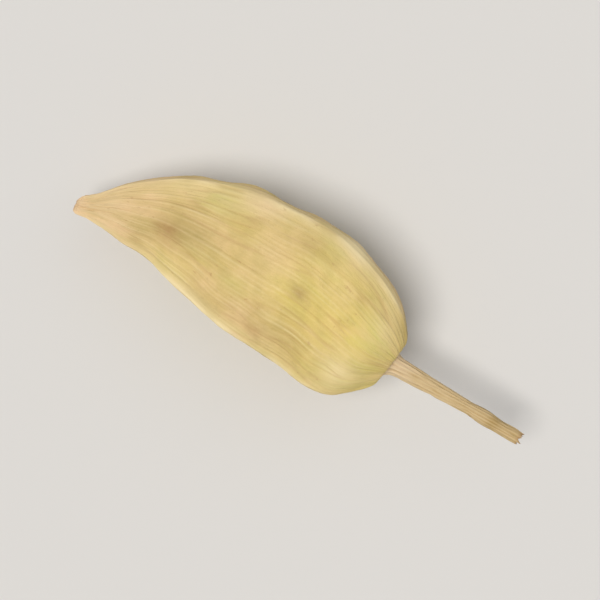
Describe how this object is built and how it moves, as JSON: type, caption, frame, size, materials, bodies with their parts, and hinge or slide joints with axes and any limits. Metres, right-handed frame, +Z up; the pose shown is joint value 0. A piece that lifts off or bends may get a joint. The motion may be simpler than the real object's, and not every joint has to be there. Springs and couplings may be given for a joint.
{
  "type": "green cardamom pod",
  "caption": "Dried green cardamom pod: a three-angled, ribbed papery husk with a narrow tip and a thin stalk, lying on a small flat spot.",
  "frame": {"origin": "on the surface the pod lies on, below the middle of its box", "axes": "+X along the pod from the husk's tip to the stalk, +Z up from the surface, +Y across towards the fuller side of the husk"},
  "size_m": [0.025, 0.0076, 0.0069],
  "materials": {
    "husk": "matte",
    "stalk": "matte"
  },
  "bodies": {
    "root": {"capsule": "husk", "stalk": "stalk"}
  },
  "joints": []
}
